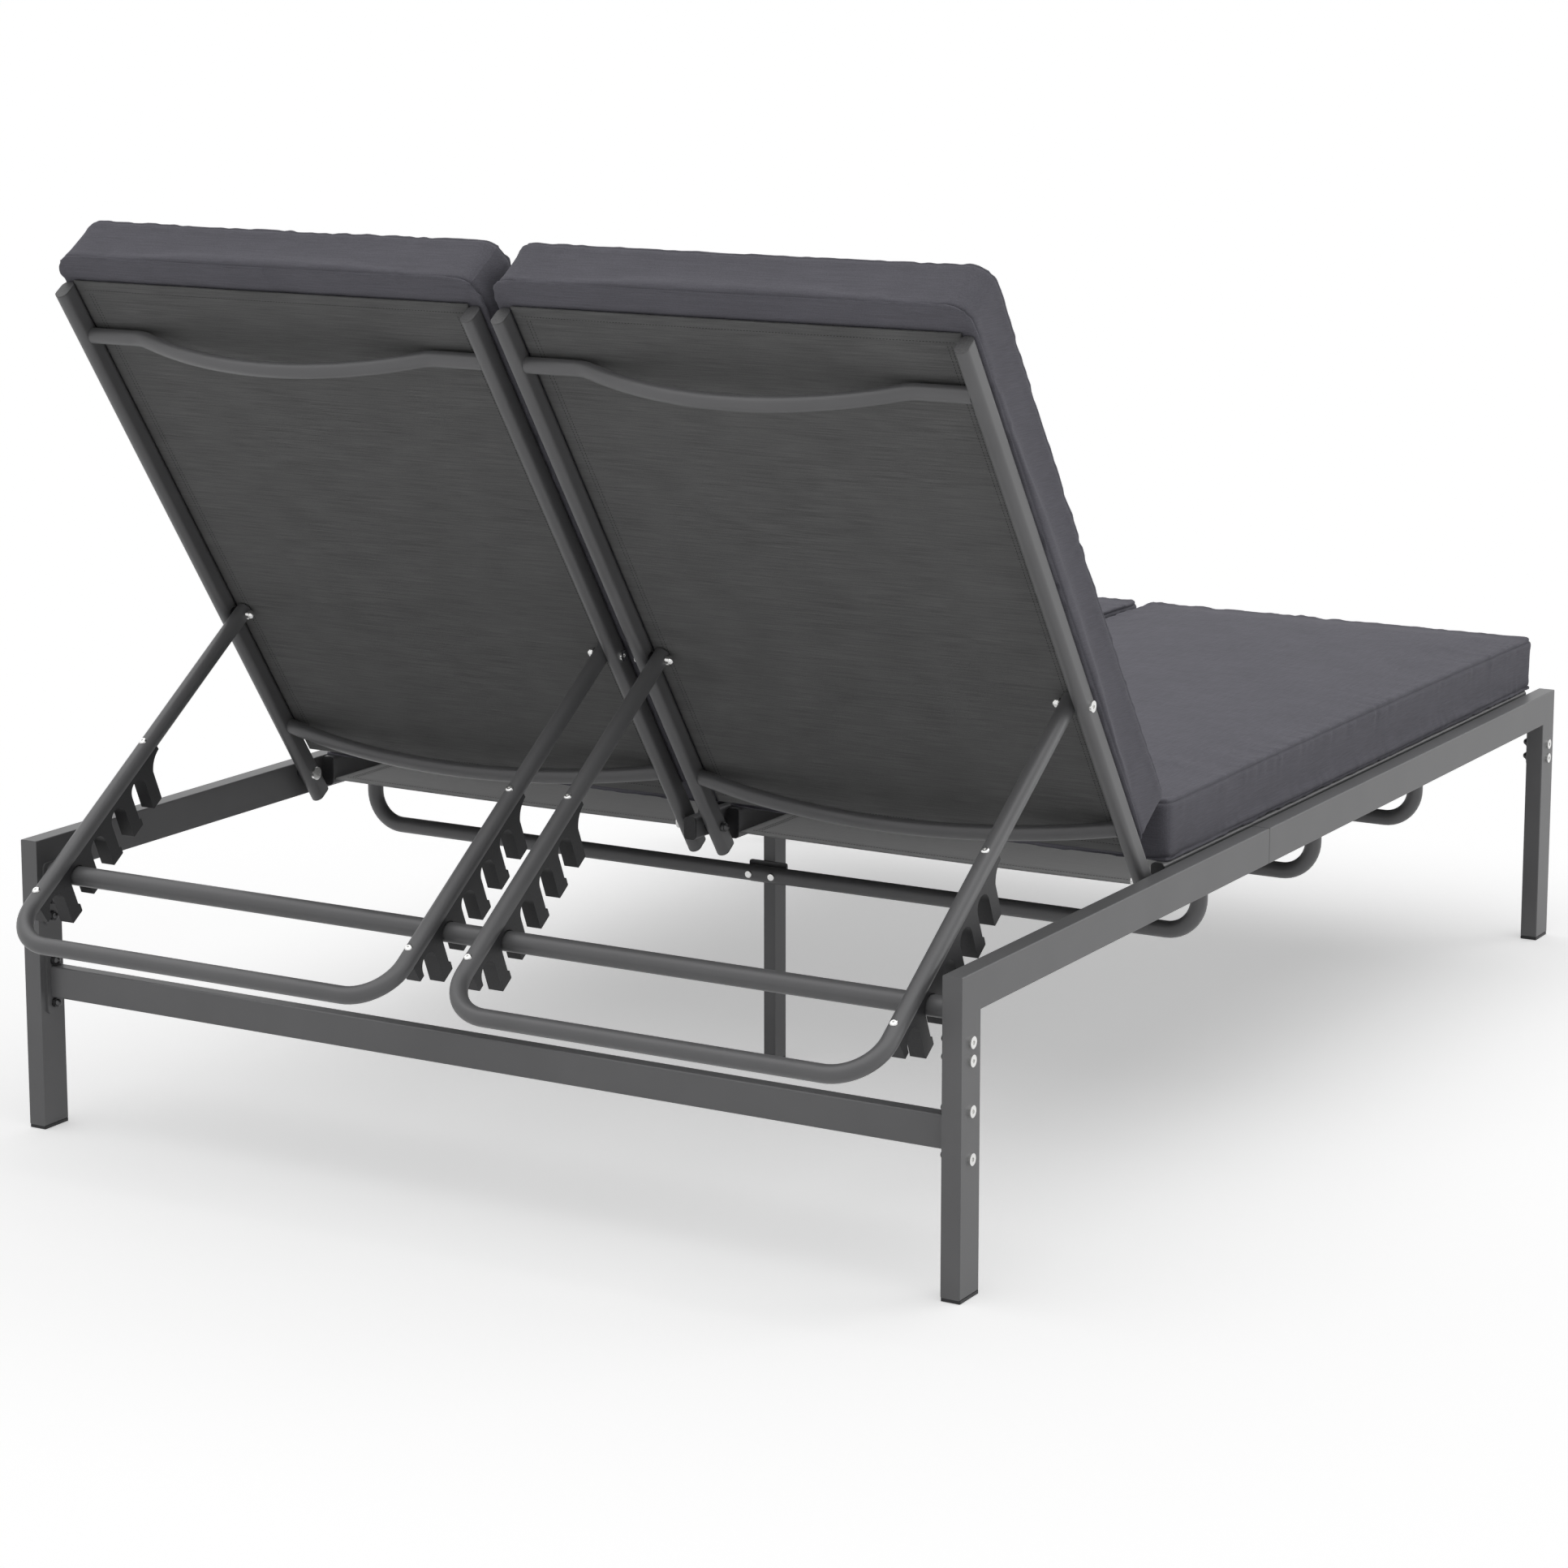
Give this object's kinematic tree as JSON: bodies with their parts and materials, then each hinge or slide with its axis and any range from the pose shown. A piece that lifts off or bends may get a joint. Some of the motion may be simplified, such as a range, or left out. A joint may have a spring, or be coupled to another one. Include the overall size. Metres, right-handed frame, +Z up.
{
  "type": "double chaise lounger",
  "caption": "Double outdoor chaise lounger: metal frame, sling seats, long cushions, and separately propped backrests with notched racks.",
  "frame": {"origin": "middle of the footprint, on the floor", "axes": "+X to the sitter's left, +Y to the head end, +Z up"},
  "size_m": [1.358, 2.043, 1.1623],
  "materials": {
    "frame_paint": "satin",
    "black_plastic": "matte",
    "bare_steel": "satin",
    "sling_fabric": "woven",
    "cushion_fabric": "woven"
  },
  "bodies": {
    "base": {"left_side_frame_head": "frame_paint", "right_side_frame_head": "frame_paint", "left_side_frame_foot": "frame_paint", "right_side_frame_foot": "frame_paint", "rail_sleeves": "frame_paint", "foot_caps": "black_plastic", "notch_bar": "frame_paint", "foot_cross_bar": "frame_paint", "cross_bar_plates": "frame_paint", "head_cross_rail": "frame_paint", "leg_bolts": "bare_steel", "frame_nuts": "bare_steel", "seat_crossbar_foot": "frame_paint", "seat_crossbar_middle": "frame_paint", "seat_crossbar_head": "frame_paint", "left_outer_seat_rail": "frame_paint", "right_outer_seat_rail": "frame_paint", "left_inner_seat_rail": "frame_paint", "right_inner_seat_rail": "frame_paint", "centre_beam": "frame_paint", "rail_end_caps": "black_plastic", "seat_rail_bolts": "bare_steel", "centre_rail_bolts": "bare_steel", "frame_spacers": "black_plastic", "hinge_bolts": "bare_steel", "centre_hinge_bolt": "bare_steel", "centre_leg": "frame_paint", "centre_leg_rivets": "bare_steel", "left_seat_sling": "sling_fabric", "right_seat_sling": "sling_fabric", "left_seat_cushion": "cushion_fabric", "right_seat_cushion": "cushion_fabric"},
    "left_backrest": {"left_outer_back_rail": "frame_paint", "left_inner_back_rail": "frame_paint", "left_back_rail_caps": "black_plastic", "left_upper_bow_bar": "frame_paint", "left_lower_bow_bar": "frame_paint", "left_back_sling": "sling_fabric", "left_pivot_bolts": "bare_steel", "left_pivot_nuts": "bare_steel", "left_pivot_washers": "black_plastic", "left_back_cushion": "cushion_fabric"},
    "left_prop": {"left_prop_frame": "frame_paint", "left_prop_racks": "black_plastic", "left_rack_rivets": "bare_steel"},
    "right_backrest": {"right_outer_back_rail": "frame_paint", "right_inner_back_rail": "frame_paint", "right_back_rail_caps": "black_plastic", "right_upper_bow_bar": "frame_paint", "right_lower_bow_bar": "frame_paint", "right_back_sling": "sling_fabric", "right_pivot_bolts": "bare_steel", "right_pivot_nuts": "bare_steel", "right_pivot_washers": "black_plastic", "right_back_cushion": "cushion_fabric"},
    "right_prop": {"right_prop_frame": "frame_paint", "right_prop_racks": "black_plastic", "right_rack_rivets": "bare_steel"}
  },
  "joints": [
    {"name": "left_backrest_hinge", "type": "hinge", "parent": "base", "child": "left_backrest", "pos_m": [0, 0.35068, 0.367], "axis": [1, 0, 0], "range_deg": [0, 12]},
    {"name": "left_prop_hinge", "type": "hinge", "parent": "left_backrest", "child": "left_prop", "pos_m": [0, 0.52304, 0.61778], "axis": [1, 0, 0], "range_deg": [0, 12]},
    {"name": "right_backrest_hinge", "type": "hinge", "parent": "base", "child": "right_backrest", "pos_m": [0, 0.35068, 0.367], "axis": [1, 0, 0], "range_deg": [0, 12]},
    {"name": "right_prop_hinge", "type": "hinge", "parent": "right_backrest", "child": "right_prop", "pos_m": [0, 0.52304, 0.61778], "axis": [1, 0, 0], "range_deg": [0, 12]}
  ],
  "couplings": [
    {"joint": "left_prop_hinge", "follows": "left_backrest_hinge", "ratio": 1},
    {"joint": "right_prop_hinge", "follows": "right_backrest_hinge", "ratio": 1}
  ]
}
